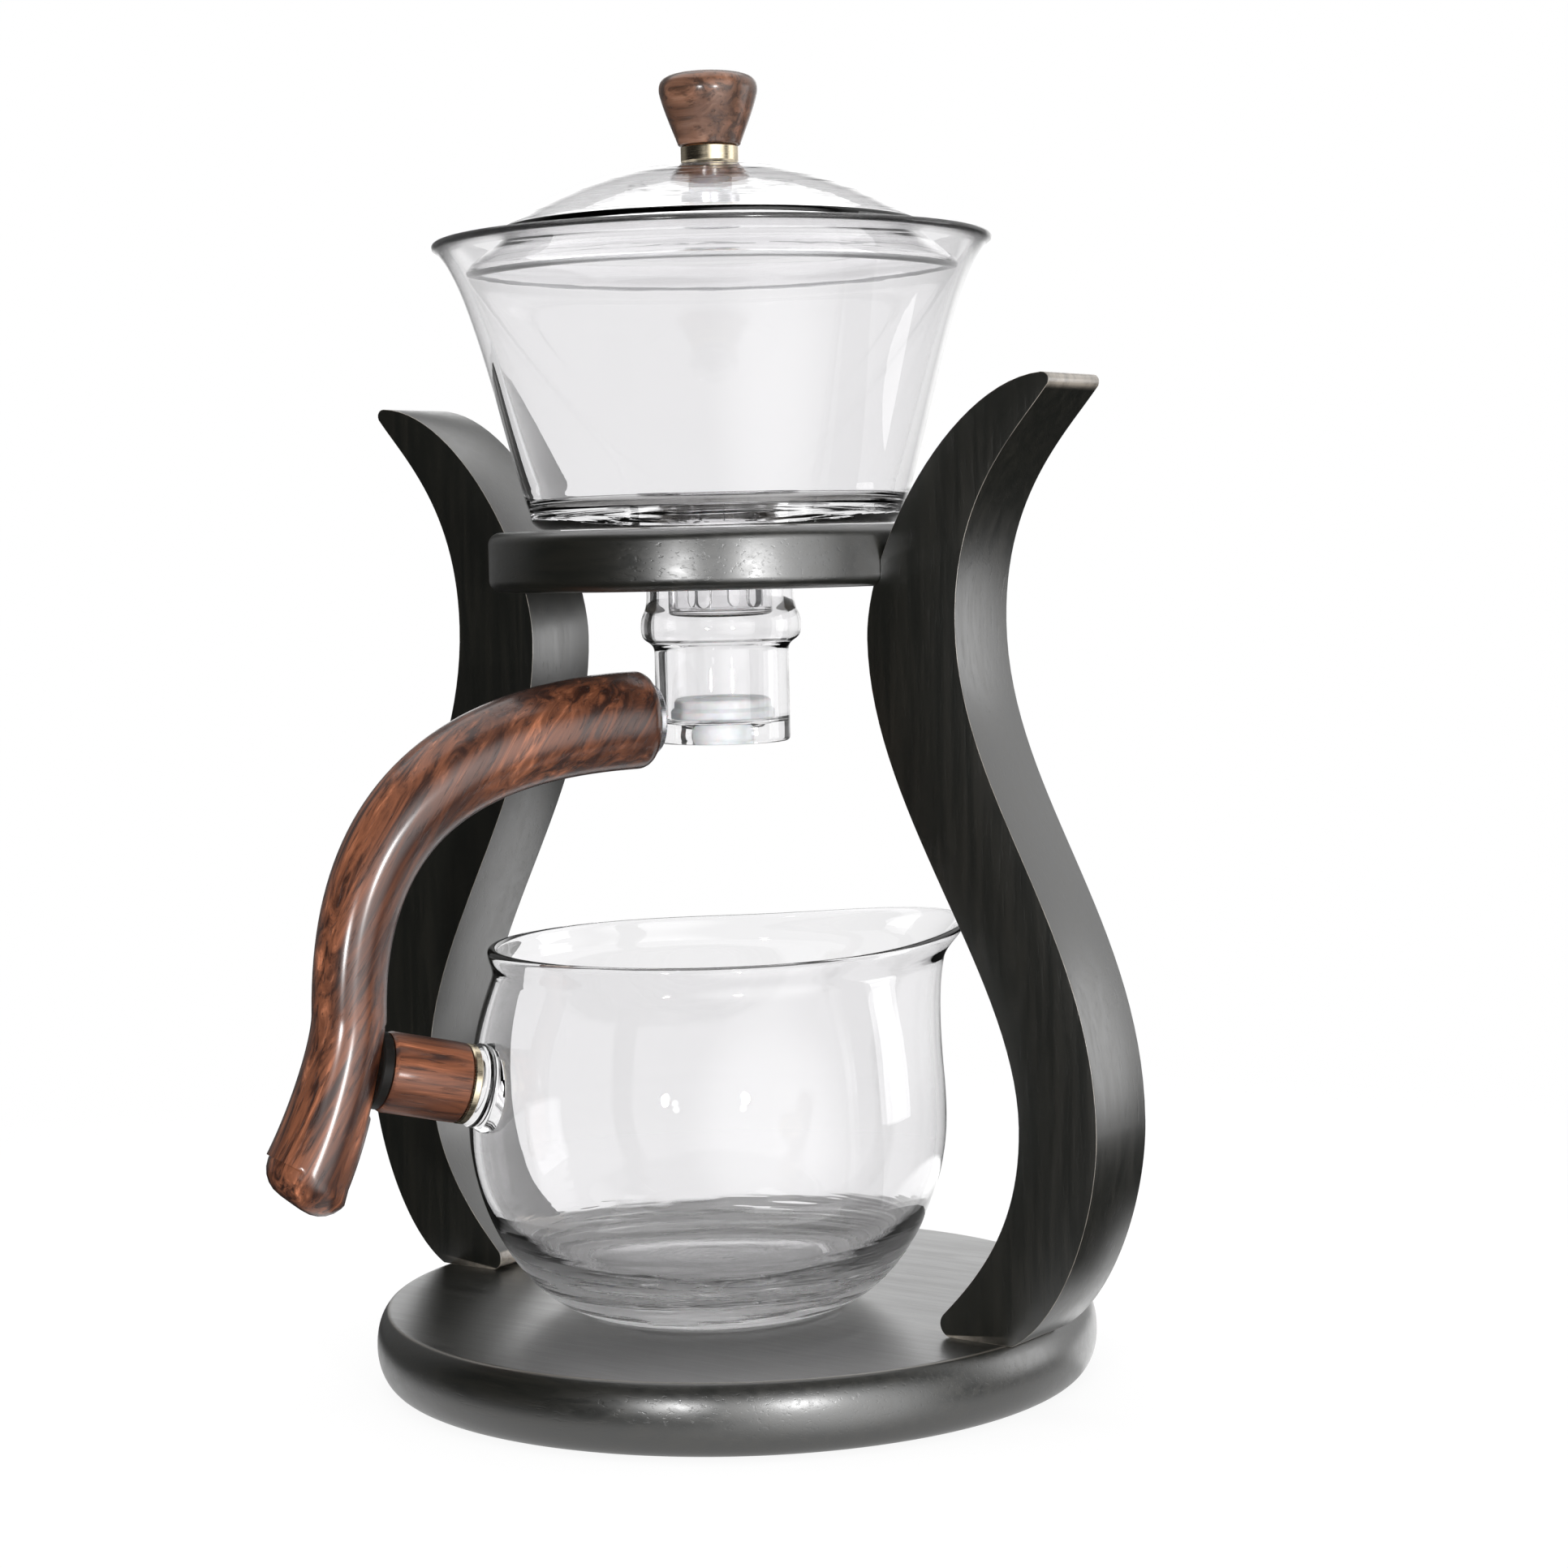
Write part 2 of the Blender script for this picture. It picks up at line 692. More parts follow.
def pale_wood(name):
    """Raw beech of the dowels, its grain along X."""
    look = sizes("dripper_finish")
    material, tree, shader = tree_of(name)
    grain = use_group(tree, "wood_grain", Vector=object_place(tree, (0, QUARTER, 0)), Streak_Scale=500.0)
    feed(
        tree, shader,
        Base_Color=blend_colour(tree, grain["Streaks"], look["beech_light"], look["beech_dark"]),
        Roughness=remap(tree, grain["Streaks"], 0.3, 0.7, 0.55, 0.7),
    )
    bump(tree, shader, grain["Pores"], 0.2, 0.0003)
    return material


# ---- Marks that the materials read ----


def mark_edges(piece, sharp=20):
    """Give a piece an edge attribute, 1 where its surface turns by more than some degrees."""
    mesh = piece.data
    limit = math.cos(math.radians(sharp))
    faces_at = [[] for _ in mesh.vertices]
    for polygon in mesh.polygons:
        for index in polygon.vertices:
            faces_at[index].append(polygon.normal.copy())
    edge = mesh.attributes.new("edge", "FLOAT", "POINT")
    for index, normals in enumerate(faces_at):
        edge.data[index].value = float(any(a.dot(normals[0]) < limit for a in normals[1:]))


def mark(piece, name, domain, places, value):
    """Give a piece an attribute from a function of radius and height in mm."""
    data = piece.data.attributes.new(name, "FLOAT", domain).data
    for item, at in zip(data, places):
        x, y, z = (c / MM for c in at)
        item.value = float(value(math.hypot(x, y), z))


def mark_waves(piece, depth):
    """Mark how wavy the glass is at each point."""
    mark(piece, "wavy", "POINT", [vertex.co for vertex in piece.data.vertices], depth)


def mark_ground(piece, amount):
    """Mark how far each face of the glass is ground: any amount dulls it, and more than half greys it."""
    mark(piece, "ground", "FACE", [polygon.center for polygon in piece.data.polygons], amount)


# ---- Pieces of the stand ----


def post_edges():
    """Inner and outer edge of the right post, from its rounded toe to its blunt tip."""
    waist_in, waist_out, waist_z, belly_z = 45.8, 67.8, 162.5, 62.0
    belly_in, belly_out, toe_r, rise = 81.0, 99.5, 2.8, waist_z - belly_z
    foot, belly, tip = (78.5, BASE_TOP), (belly_out, belly_z), (90.95, 213.58)
    waist = (waist_out, waist_z + 3)
    above, below = (waist_out, waist[1] + 26.5), (waist_out, waist[1] - rise * 0.36)
    outer = [foot] + bezier([foot, (91.5, BASE_TOP + 7), (belly_out, belly_z - 16), belly], 32)
    outer += bezier([belly, (belly_out, belly_z + rise * 0.42), below, waist], 30)
    outer += bezier([waist, above, (83.0, 204.0), tip], 26)
    belly, waist, end = (belly_in, belly_z), (waist_in, waist_z), (89.3, 216.0)
    above, below = (waist_in, waist_z + 19), (waist_in, waist_z - rise * 0.36)
    inner = arc((63.6, BASE_TOP + toe_r), toe_r, 270, 140, 10)
    inner += bezier([inner[-1], (71.46, 30.6), (belly_in, belly_z - 20), belly], 22)
    inner += bezier([belly, (belly_in, belly_z + rise * 0.31), below, waist], 30)
    inner += bezier([waist, above, (67.5, 215.0), end], 26)
    blunt = [end, (90.84, 216.0), (91.5, 214.9), tip]
    inner += [on_curve(blunt, t) for t in (0.15, 0.3, 0.45)]
    outer += [on_curve(blunt, t) for t in (0.85, 0.7, 0.55)]
    return inner, outer


def edge_stations(inner, outer):
    """Middle, turn and half length of each line from the inner to the outer edge."""
    return [
        ((xi + xo) / 2, (zi + zo) / 2, math.atan2(zo - zi, xo - xi), math.hypot(xo - xi, zo - zi) / 2)
        for (xi, zi), (xo, zo) in zip(inner, outer)
    ]


def ring_outline(ring_r, ring_t, edge, hole=0.0, grow=0.0):
    """Closed outline of the support ring, or of the blank that the posts are notched for."""
    r, low, high, ease = ring_r + grow, RING_MID - ring_t / 2 - grow, RING_MID + ring_t / 2 + grow, 0.8
    outline = [(hole + ease if hole else 0, low)]
    outline += arc((r - edge, low + edge), edge, -90, 0)
    outline += arc((r - edge, high - edge), edge, 0, 90)
    if not hole:
        return outline + [(0, high)]
    return outline + [(hole + ease, high), (hole, high - ease), (hole, low + ease)]


class DRIPPER_OT_base(bpy.types.Operator):
    """Turn the base disc with its swelling side and bore it for the screws"""

    bl_idname = "dripper.base"
    bl_label = "Base"

    def execute(self, context):
        s = sizes("dripper_stand")
        lift, r, t = s["lift"], s["base_r"], s["base_t"]
        pad_r, pad_z, screw_x, screw_y = 64.1, 1.1, 69.5, 5
        foot, widest, top, brow_r = (r - 4.5, lift), (r, lift + t * 0.5), lift + t, r - 2.2
        brow = (brow_r, top - 0.35)
        outline = [(0, pad_z), (pad_r, pad_z), (pad_r, lift), foot]
        outline += bezier([foot, (foot[0] + 2.7, lift), (r, widest[1] - t * 0.25), widest], 14)
        outline += bezier([widest, (r, widest[1] + t * 0.3), (brow_r + 0.7, top - 1.2), brow], 14)
        outline += [(brow_r - 0.35, top - 0.08), (brow_r - 1.2, top), (r * 0.6, top), (0, top)]
        base = turned("turned_base", outline, 256, 40)
        bore = turned("bore", [(0, -1), (3.6, -1), (3.6, 4.4), (2.1, 4.4), (2.1, 17), (0, 17)], 40)
        spots = [(x, y) for x in (-screw_x, screw_x) for y in (-screw_y, screw_y)]
        carve_copies(base, bore, [Matrix.Translation((x * MM, y * MM, 0)) for x, y in spots])
        mark_edges(base)
        soften(base, 40)
        finish_piece(base, "stand", "black_wood", "stain_across", "base_disc")
        return {"FINISHED"}


class DRIPPER_OT_posts(bpy.types.Operator):
    """Extrude one S-curved post along its edges, round it, notch it for the ring and mirror a copy"""

    bl_idname = "dripper.posts"
    bl_label = "Posts"

    def execute(self, context):
        s = sizes("dripper_stand")
        stations = edge_stations(*post_edges())
        x, z, _, half = stations[0]
        clear_selection()
        bpy.ops.mesh.primitive_plane_add(size=2 * half * MM, location=(x * MM, half * MM, z * MM))
        edit()
        select_where(bpy.context.object, lambda at: at.y > 0)
        bpy.ops.mesh.delete(type="VERT")
        bpy.ops.mesh.select_all(action="SELECT")
        follow(stations)
        bpy.ops.mesh.select_all(action="SELECT")
        bpy.ops.transform.translate(value=(0, -s["post_t"] / 2 * MM, 0))
        bpy.ops.mesh.extrude_region_move(TRANSFORM_OT_translate={"value": (0, s["post_t"] * MM, 0)})
        close_up()
        right = named("shaped_right_post")
        round_edges(right, s["post_round"], 4, 40)
        mark_edges(right, 17)
        carve(right, turned("notch", ring_outline(s["ring_r"], s["ring_t"], s["ring_round"], grow=0.1)))
        left = copied(right, "shaped_left_post")
        edit()
        bpy.ops.transform.mirror(constraint_axis=(True, False, False), center_override=(0, 0, 0))
        bpy.ops.mesh.select_all(action="SELECT")
        bpy.ops.mesh.flip_normals()
        for piece, node in ((right, "right_post"), (left, "left_post")):
            soften(piece, 30)
            finish_piece(piece, "stand", "black_wood", "stain_up", node)
        return {"FINISHED"}


class DRIPPER_OT_ring(bpy.types.Operator):
    """Turn the support ring with its rounded edges and eased hole"""

    bl_idname = "dripper.ring"
    bl_label = "Support ring"

    def execute(self, context):
        s = sizes("dripper_stand")
        outline = ring_outline(s["ring_r"], s["ring_t"], s["ring_round"], s["ring_hole"])
        ring = turned("turned_ring", outline, 224, 40)
        mark_edges(ring, 35)
        finish_piece(ring, "stand", "black_wood", "stain_across", "support_ring")
        return {"FINISHED"}


# ---- Glass pieces ----


def bowl_curves():
    """Outer and inner side of the bowl, from its foot to its rim."""
    corner = 3.5
    outer = bezier(
        [(41.2, BOWL_Z + corner), (47.2, BOWL_Z + 22.5), (53.3, RIM_Z - 6), (60.8, RIM_Z - 1)], 40
    )
    inner = bezier(
        [(39.0, BOWL_FLOOR + corner), (44.2, BOWL_Z + corner + 20), (51.1, RIM_Z - 5), (59.2, RIM_Z)], 40
    )
    return outer, inner


def bulge_curves(tube, bulge, throat, half):
    """Swelling of the drain tube, from the tube's radius over the bulge's to the throat's."""
    low, high = (tube, BULGE_Z - half), (throat, BULGE_Z + half * 1.4)
    crest = (bulge, BULGE_Z)
    lower = bezier([low, (tube, BULGE_Z - half * 0.4), (bulge, BULGE_Z - half * 0.7), crest], 14)
    upper = bezier([crest, (bulge, BULGE_Z + half * 0.7), (throat, BULGE_Z + half * 0.5), high], 14)
    return [low] + lower + upper


class DRIPPER_OT_bowl(bpy.types.Operator):
    """Blow the bowl and its bulged drain tube as one closed wall"""

    bl_idname = "dripper.bowl"
    bl_label = "Bowl"

    def execute(self, context):
        outer, inner = bowl_curves()
        wall, hole, bulge, throat, half, corner = 2.3, 7.2, 17.7, 16.25, 5.5, 3.5
        outside = bulge_curves(TUBE_R, bulge, throat, half)
        inside = bulge_curves(TUBE_R - wall, bulge - wall, throat - wall, half)
        outline = [(hole, TUBE_Z + 0.3), (hole + 0.3, TUBE_Z)]
        outline += arc((TUBE_R - 1, TUBE_Z + 1), 1, -90, 0, 5)
        outline += [(TUBE_R, outside[0][1] - 6)] + outside + [(throat, BOWL_Z - 1)]
        outline += arc((throat + 1, BOWL_Z - 1), 1, 180, 90, 4)
        outline += [(28, BOWL_Z)] + arc((37.7, BOWL_Z + corner), corner, -90, 0)
        outline += outer + arc((60.1, RIM_Z - 0.55), 0.85, 10, 120, 6)
        outline += inner[-2::-1] + arc((35.5, BOWL_FLOOR + corner), corner, 0, -90)
        outline += [(24, BOWL_FLOOR)]
        outline += arc((throat - wall + 1.2, BOWL_FLOOR - 1.2), 1.2, 90, 180, 4)
        outline += inside[::-1] + [(TUBE_R - wall, TUBE_FLOOR + 1.2)]
        outline += arc((TUBE_R - wall - 1.2, TUBE_FLOOR + 1.2), 1.2, 0, -90, 5)
        outline += [(hole + 0.3, TUBE_FLOOR), (hole, TUBE_FLOOR - 0.3)]
        bowl = turned("blown_bowl", outline, 256, 50)

        def depth(r, z):
            return 0.004 + 0.05 * (BOWL_Z - 2 < z < BOWL_FLOOR + 1 or z < TUBE_FLOOR + 1)

        mark_waves(bowl, depth)
        mark_ground(bowl, lambda r, z: 0.35 * (z > RIM_Z - 1.8))
        finish_piece(bowl, "bowl", "clear_glass", "glass", "brewing_bowl")
        return {"FINISHED"}


class DRIPPER_OT_strainer(bpy.types.Operator):
    """Blow the strainer cup and cut its row of round-ended slots"""

    bl_idname = "dripper.strainer"
    bl_label = "Strainer"

    def execute(self, context):
        r, wall, flange_z = 11.4, 1.6, BOWL_FLOOR + 0.3
        foot, flange_r, bore = BOWL_FLOOR - 25, 17.95, r - wall
        outline = [(0, foot)] + arc((r - 1.2, foot + 1.2), 1.2, -90, 0, 5)
        outline += [(r, flange_z - 0.6), (r + 0.6, flange_z)]
        outline += arc((flange_r - 0.8, flange_z + 0.8), 0.8, -90, 0, 4)
        outline += arc((flange_r - 0.8, flange_z + 1.2), 0.8, 0, 90, 4)
        outline += [(bore + 1, flange_z + 2), (bore, flange_z + 1.2), (bore, foot + wall + 1)]
        outline += arc((bore - 1, foot + wall + 1), 1, 0, -90, 4) + [(0, foot + wall)]
        cup = turned("blown_strainer", outline, 128, 40)
        slot_w, slot_l, count, first = 3.2, 15.0, 6, 48
        slot_z = foot + wall + slot_w / 2 + 0.6
        clear_selection()
        bpy.ops.mesh.primitive_cylinder_add(
            vertices=32, radius=slot_w / 2 * MM, depth=10 * MM,
            location=(10 * MM, 0, slot_z * MM), rotation=(0, QUARTER, 0),
        )
        slot = named("slot")
        edit()
        select_where(slot, lambda at: at.z > slot_z * MM)
        bpy.ops.transform.translate(value=(0, 0, (slot_l - slot_w) * MM))
        turns = [math.radians(first + i * 360 / count) for i in range(count)]
        carve_copies(cup, slot, [Matrix.Rotation(turn, 4, "Z") for turn in turns])
        mark_ground(cup, lambda out, z: bore + 0.02 < out < r - 0.02 and slot_z - 2 < z < slot_z + slot_l)
        soften(cup, 40)
        finish_piece(cup, "strainer_insert", "clear_glass", "glass", "strainer")
        return {"FINISHED"}


class DRIPPER_OT_valve(bpy.types.Operator):
    """Turn the silicone stopper with its stem"""

    bl_idname = "dripper.valve"
    bl_label = "Stopper"

    def execute(self, context):
        seat, stem, r = TUBE_FLOOR + SEAT_GAP, 6.8, 11.5
        waist, top = seat + STOPPER_T * 0.45, seat + STOPPER_T
        outline = [(0, TUBE_Z + 0.3)]
        outline += arc((stem - 0.8, TUBE_Z + 1.1), 0.8, -90, 0, 4)
        outline += [(stem, seat), (r - 1.2, seat)]
        outline += arc((r - 1.0, seat + 1.0), 1.0, -90, 0, 4)
        outline += [(r, waist), (r - 0.8, waist + 0.8)]
        outline += arc((r - 1.6, top - 0.8), 0.8, 0, 90, 4)
        outline += [(6.5, top), (6.2, top - 0.3), (0, top - 0.3)]
        stopper = turned("silicone_stopper", outline, 96, 40)
        finish_piece(stopper, "valve", "white_silicone", "silicone", "valve_stopper")
        return {"FINISHED"}


def dome_circle(lid_r):
    """Radius of the dome's foot, and the centre and radius of its outer arc."""
    dome_r = lid_r - 8.2
    radius = (dome_r**2 + DOME_H**2) / (2 * DOME_H)
    return dome_r, (0, DOME_Z + DOME_H - radius), radius


def lid_outline(lid_r, wall):
    """Closed outline of the lid: dome, flat brim, rolled edge, and back along the inside."""
    dome_r, centre, radius = dome_circle(lid_r)
    hole, edge_z, dome_z = 2.6, LID_EDGE_Z, DOME_Z

    def slope(r, sphere):
        return 90 - math.degrees(math.asin(r / sphere))

    inside = radius - wall
    shoulder = arc(centre, inside, slope(dome_r - wall, inside), slope(hole, inside), 40)
    knee = (dome_r - wall * 0.65, dome_z - 3 - wall * 0.7)
    outline = arc(centre, radius, slope(hole, radius), slope(dome_r, radius), 40)
    for steps, *bend in (
        (8, (dome_r + 0.9, dome_z - 0.8), (dome_r - 0.1, dome_z - 2), (dome_r + 0.3, dome_z - 3)),
        (10, (dome_r + 1.2, dome_z - 4.2), (lid_r - 1.6, edge_z + 3), (lid_r - 0.8, edge_z + wall)),
        (8, (lid_r + 0.2, edge_z + 1.2), (lid_r, edge_z), (lid_r - 0.8, edge_z - 0.1)),
        (6, (lid_r - 1.6, edge_z - 0.2), (lid_r - wall, edge_z - 0.1), (lid_r - wall - 0.4, edge_z + 0.6)),
        (8, (lid_r - wall - 2.5, edge_z + 3), (knee[0] + 2.2, knee[1] - 1.4), knee),
        (6, (knee[0] - 0.5, knee[1] + 1), (shoulder[0][0] + 0.6, shoulder[0][1] - 0.8), shoulder[0]),
    ):
        outline += bezier([outline[-1], *bend], steps)
    return outline + shoulder[1:]


class DRIPPER_OT_lid(bpy.types.Operator):
    """Blow the domed lid and turn its washer, cap nut, brass ring and wooden knob"""

    bl_idname = "dripper.lid"
    bl_label = "Lid"

    def execute(self, context):
        wall = sizes("dripper_glass")["wall"]
        lid_r = at_height(bowl_curves()[1], LID_EDGE_Z) - 0.3
        lid = turned("blown_lid", lid_outline(lid_r, wall), 256, 60)
        mark_waves(lid, lambda r, z: 0.02 + 0.2 * (15 < r < 17.5))
        mark_ground(lid, lambda r, z: r > lid_r - 2.6 and z < LID_EDGE_Z + 0.9)
        finish_piece(lid, "lid", "clear_glass", "glass", "lid_glass")

        _, centre, radius = dome_circle(lid_r)
        bore, r = SCREW_BORE, 4.8
        washer_z = centre[1] + math.sqrt((radius - wall) ** 2 - r**2) - 3.7
        outline = [(bore, 0), (r - 0.5, 0), (r, 0.5), (r, 1.4), (r - 0.35, 1.8)]
        outline += [(r, 2.2), (r, 3.1), (r - 0.5, 3.6), (bore, 3.6)]
        fitting("clear_washer", washer_z, outline, 96, "lid", "clear_silicone", "lid_washer")
        r = 6.4
        outline = [(bore, 0), (r - 1.4, 0), (r - 0.4, 0.5), (r, 1.2), (r, 3.5), (r - 0.5, 4), (bore, 4)]
        fitting("steel_cap_nut", washer_z - 4.1, outline, 96, "lid", "steel", "lid_nut")
        r, h, ring_z = 6.3, 3.6, DOME_Z + DOME_H + 0.1
        outline = [(bore, 0), (r - 0.3, 0), (r, 0.3), (r, h - 0.3), (r - 0.3, h), (bore, h)]
        fitting("lid_brass_ring", ring_z, outline, 128, "lid", "brass", "lid_ferrule")

        low, r, neck, tall = ring_z + h + 0.1, 10.7, 6.9, 15.8
        brow, stud, top = (r, low + tall * 0.72), low + tall * 0.6, low + tall
        outline = [(0, stud + 0.1), (bore, stud + 0.1), (bore, low), (neck - 0.6, low)]
        outline += arc((neck - 0.5, low + 0.5), 0.5, -80, 0, 4)
        flare = [(neck, low + 0.5), (neck + 1.5, low + tall * 0.28), (r - 0.8, low + tall * 0.5), brow]
        crown = [brow, (r + 0.4, low + tall * 0.94), (r * 0.85, top), (0, top)]
        outline += bezier(flare, 18) + bezier(crown, 22)
        finish_piece(turned("lid_wood_knob", outline, 128, 40), "lid", "red_wood", "knob_wood", "lid_knob")
        return {"FINISHED"}


def jug_curves():
    """Outer and inner side of the jug away from its lip, from its foot up and from its rim down."""
    wall = sizes("dripper_glass")["wall"]
    r, h, belly, foot, neck, neck_z, floor, rim = JUG_R, 80.0, 41.0, 28.0, 46.6, 73.5, 7.0, 47.4
    outer = [(foot, 0.0)] + bezier([(foot + 1, 0.4), (foot + 13, 3.0), (r, belly - 19), (r, belly)], 40)
    outer += bezier([(r, belly), (r, belly + 17), (neck + 2.8, neck_z - 8), (neck, neck_z)], 20)
    outer += bezier([(neck, neck_z), (neck - 0.5, neck_z + 2), (rim, h - 3), (rim, h - 1)], 10)
    r, neck, rim = r - wall, neck - wall, rim - wall
    inner = bezier([(rim, h - 1), (rim, h - 3), (neck - 0.5, neck_z + 2), (neck, neck_z)], 10)
    inner += bezier([(neck, neck_z), (neck + 2.8, neck_z - 8), (r, belly + 17), (r, belly)], 20)
    inner += bezier([(r, belly), (r, belly - 18), (foot + 14, floor + 0.8), (foot - 4, floor)], 40)
    return outer, inner


def pull_lip(piece):
    """Draw the pouring lip out of the jug's wall on its -X side."""
    reach, rise, half_angle, root, top = 15.0, 2.5, 34.0, 50.0, 80.0
    for vertex in piece.data.vertices:
        x, y, z = (c / MM for c in vertex.co)
        radius = math.hypot(x, y)
        if z <= root or radius < 1:
            continue
        off = math.degrees(math.acos(max(-1.0, min(1.0, -x / radius))))
        pull = math.exp(-((off / half_angle) ** 2)) * ((z - root) / (top - root)) ** 2
        scale = (radius + reach * pull) / radius
        vertex.co = (x * scale * MM, y * scale * MM, (z + rise * pull) * MM)


def boss_on(outer):
    """Boss that carries the handle, with its root laid into the jug's wall."""
    handle = sizes("dripper_handle")
    peg_r, tilt = handle["peg_r"], handle["peg_tilt"]
    root, wall_depth, seat = 5.4, 1.1, peg_start() - 0.1
    profile = (
        (1.7, -root), (1.1, -4.2), (0.5, -3.4), (0.1, -2.9), (0.1, -2.5), (0.4, -2.1), (0.4, -1.3),
        (0, -0.8), (-0.5, -0.4), (-1.6, -0.1), (-3, 0),
    )
    outline = [(0, seat - root)] + [(peg_r + wider, seat + rise) for wider, rise in profile] + [(0, seat)]
    boss = turned("boss", outline, 96, 50)
    place(boss, peg_in_jug())
    axis = Vector((math.cos(tilt), 0, math.sin(tilt)))
    for vertex in boss.data.vertices:
        _, y, z = at = vertex.co / MM
        if (at - Vector((0, 0, handle["peg_height"]))).dot(axis) < seat - root + 0.2:
            radius = at_height(outer, z) - wall_depth
            vertex.co.x = math.sqrt(max(1.0, radius * radius - y * y)) * MM
    return boss


class DRIPPER_OT_jug(bpy.types.Operator):
    """Blow the jug, draw its lip, and fuse the boss that carries the handle"""

    bl_idname = "dripper.jug"
    bl_label = "Jug"

    def execute(self, context):
        outer, inner = jug_curves()
        outline = [(0, 1.3), (12, 1.0), (20, 0.45), (24, 0.1), (26, 0)] + outer
        outline += arc((46.3, 79.0), 1.1, 0, 180) + inner + [(14, 7.1), (0, 7.3)]
        jug = turned("blown_jug", outline, 256, 60)
        pull_lip(jug)
        carve(jug, boss_on(outer), "UNION")

        def depth(r, z):
            on_floor = 0.22 * (1 - smooth((r - 21) / 3)) * (4 < z < 9)
            on_foot = 0.45 * (1 - smooth((z - 8) / 16)) * (abs(r - at_height(outer, z)) < 0.4)
            return max(on_floor, on_foot, 0.001)

        mark_waves(jug, depth)
        mark_ground(jug, lambda r, z: 0.45 * (z < 1.4 and r < 27))
        soften(jug, 60)
        place(jug, jug_frame())
        finish_piece(jug, "jug", "clear_glass", "jug_glass", "jug_glass")
        return {"FINISHED"}


def peg_start():
    """Where the peg's brass ring begins, along the peg from the jug's axis."""
    handle = sizes("dripper_handle")
    tilt, peg_r = handle["peg_tilt"], handle["peg_r"]
    crown = handle["peg_height"] + JUG_R * math.sin(tilt) + peg_r * math.cos(tilt)
    radius = at_height(jug_curves()[0], crown)
    return (radius + peg_r * math.sin(tilt)) / math.cos(tilt) + 3.1


class DRIPPER_OT_peg(bpy.types.Operator):
    """Turn the peg with its brass ring and the dark collar at the handle"""

    bl_idname = "dripper.peg"
    bl_label = "Peg"

    def execute(self, context):
        r, start, bore, hole = sizes("dripper_handle")["peg_r"], peg_start(), ROD_BORE, 3.9
        places = (jug_frame(), peg_in_jug())
        end = RING_T - 0.1
        outline = [(0, 0), (r - 0.3, 0), (r, 0.3), (r, end - 0.3), (r - 0.3, end), (0, end)]
        fitting("peg_brass_ring", start, outline, 128, "jug", "brass", "peg_ferrule", places)
        end, start = PEG_L - 0.1, start + RING_T
        outline = [
            (0, 0), (r - 0.5, 0), (r - 0.05, 0.45), (r, 2), (r, end - 0.9), (r - 0.4, end), (bore, end),
            (bore, hole), (0, hole),
        ]
        fitting("turned_peg", start, outline, 128, "jug", "peg_wood", "handle_peg", places, "red_wood")
        end, start = COLLAR_T - 0.1, start + PEG_L
        outline = [
            (bore, 0), (r - 0.7, 0), (r - 0.4, 0.3), (r - 0.4, end - 0.3), (r - 0.7, end), (bore, end),
        ]
        fitting("dark_collar", start, outline, 128, "jug", "dark_collar", "peg_collar", places)
        return {"FINISHED"}


def magnet_place():
    """Distance out from the jug's axis and height of the magnet's cup, in the jug's frame."""
    handle = sizes("dripper_handle")
    out = TUBE_R + MAGNET_GAP + handle["pull"] * math.sin(handle["turn"])
    return out, TUBE_FLOOR + SEAT_GAP - JUG_Z + STOPPER_T / 4


def magnet_frame():
    """Frame of the magnet's cup in the jug's frame: +Z out along the handle."""
    out, height = magnet_place()
    return Matrix.Translation((out * MM, 0, height * MM)) @ Matrix.Rotation(QUARTER, 4, "Y")


def handle_line():
    """Centre line, direction and radius of the handle from its magnet end, in the jug's frame."""
    handle = sizes("dripper_handle")
    tilt = handle["peg_tilt"]
    top_r, bend_r, end_r = 10.6, 7.8, 9.5
    along_peg = peg_start() + RING_T + PEG_L + COLLAR_T + bend_r - 1
    mid = Vector((along_peg * math.cos(tilt), handle["peg_height"] + along_peg * math.sin(tilt)))
    cup_x, magnet_z = magnet_place()
    top = Vector((cup_x + CUP_PROUD, magnet_z))
    bend = Vector((mid.x - 2.5, mid.y + 11))
    low = Vector((mid.x + 11.5, mid.y - 28))
    rise = magnet_z - bend.y
    upper = [top, top + Vector((46, 0)), bend + Vector((-1, rise * 0.68)), bend]
    lower = [bend, bend - Vector((0, 9)), low + Vector((-6, 7)), low]

    def point(t):
        return Vector(on_curve(upper, t) if t < 1 else on_curve(lower, t - 1))

    def radius(t):
        return top_r + (bend_r - top_r) * smooth(t) if t < 1 else bend_r + (end_r - bend_r) * smooth(t - 1)

    def direction(t):
        return (point(min(2, t + 0.01)) - point(max(0, t - 0.01))).normalized()

    return point, direction, radius


def handle_stations():
    """Stations of the handle's round section, its rounded ends included."""
    point, direction, radius = handle_line()
    turns = (0, 15, 30, 45, 60, 75, 84)
    steps, after_start, before_end = 44, 2, 8

    def station(t, edge, a):
        """Station of the line, or of the rounded edge at an angle from the flat end."""
        way, a = direction(t), math.radians(a)
        centre = point(t) + math.copysign(edge * (1 - math.cos(a)), 1 - t) * way
        return [centre.x, centre.y, math.atan2(way.y, way.x), radius(t) - edge * (1 - math.sin(a))]

    run = [station(0, 3.0, a) for a in turns]
    run += [station(i / steps, 0.0, 90) for i in range(after_start, 2 * steps - before_end)]
    run += [station(2, 6.5, a) for a in reversed(turns)]
    for before, after in zip(run, run[1:]):
        while after[2] - before[2] > math.pi:
            after[2] -= 2 * math.pi
        while after[2] - before[2] < -math.pi:
            after[2] += 2 * math.pi
    return run


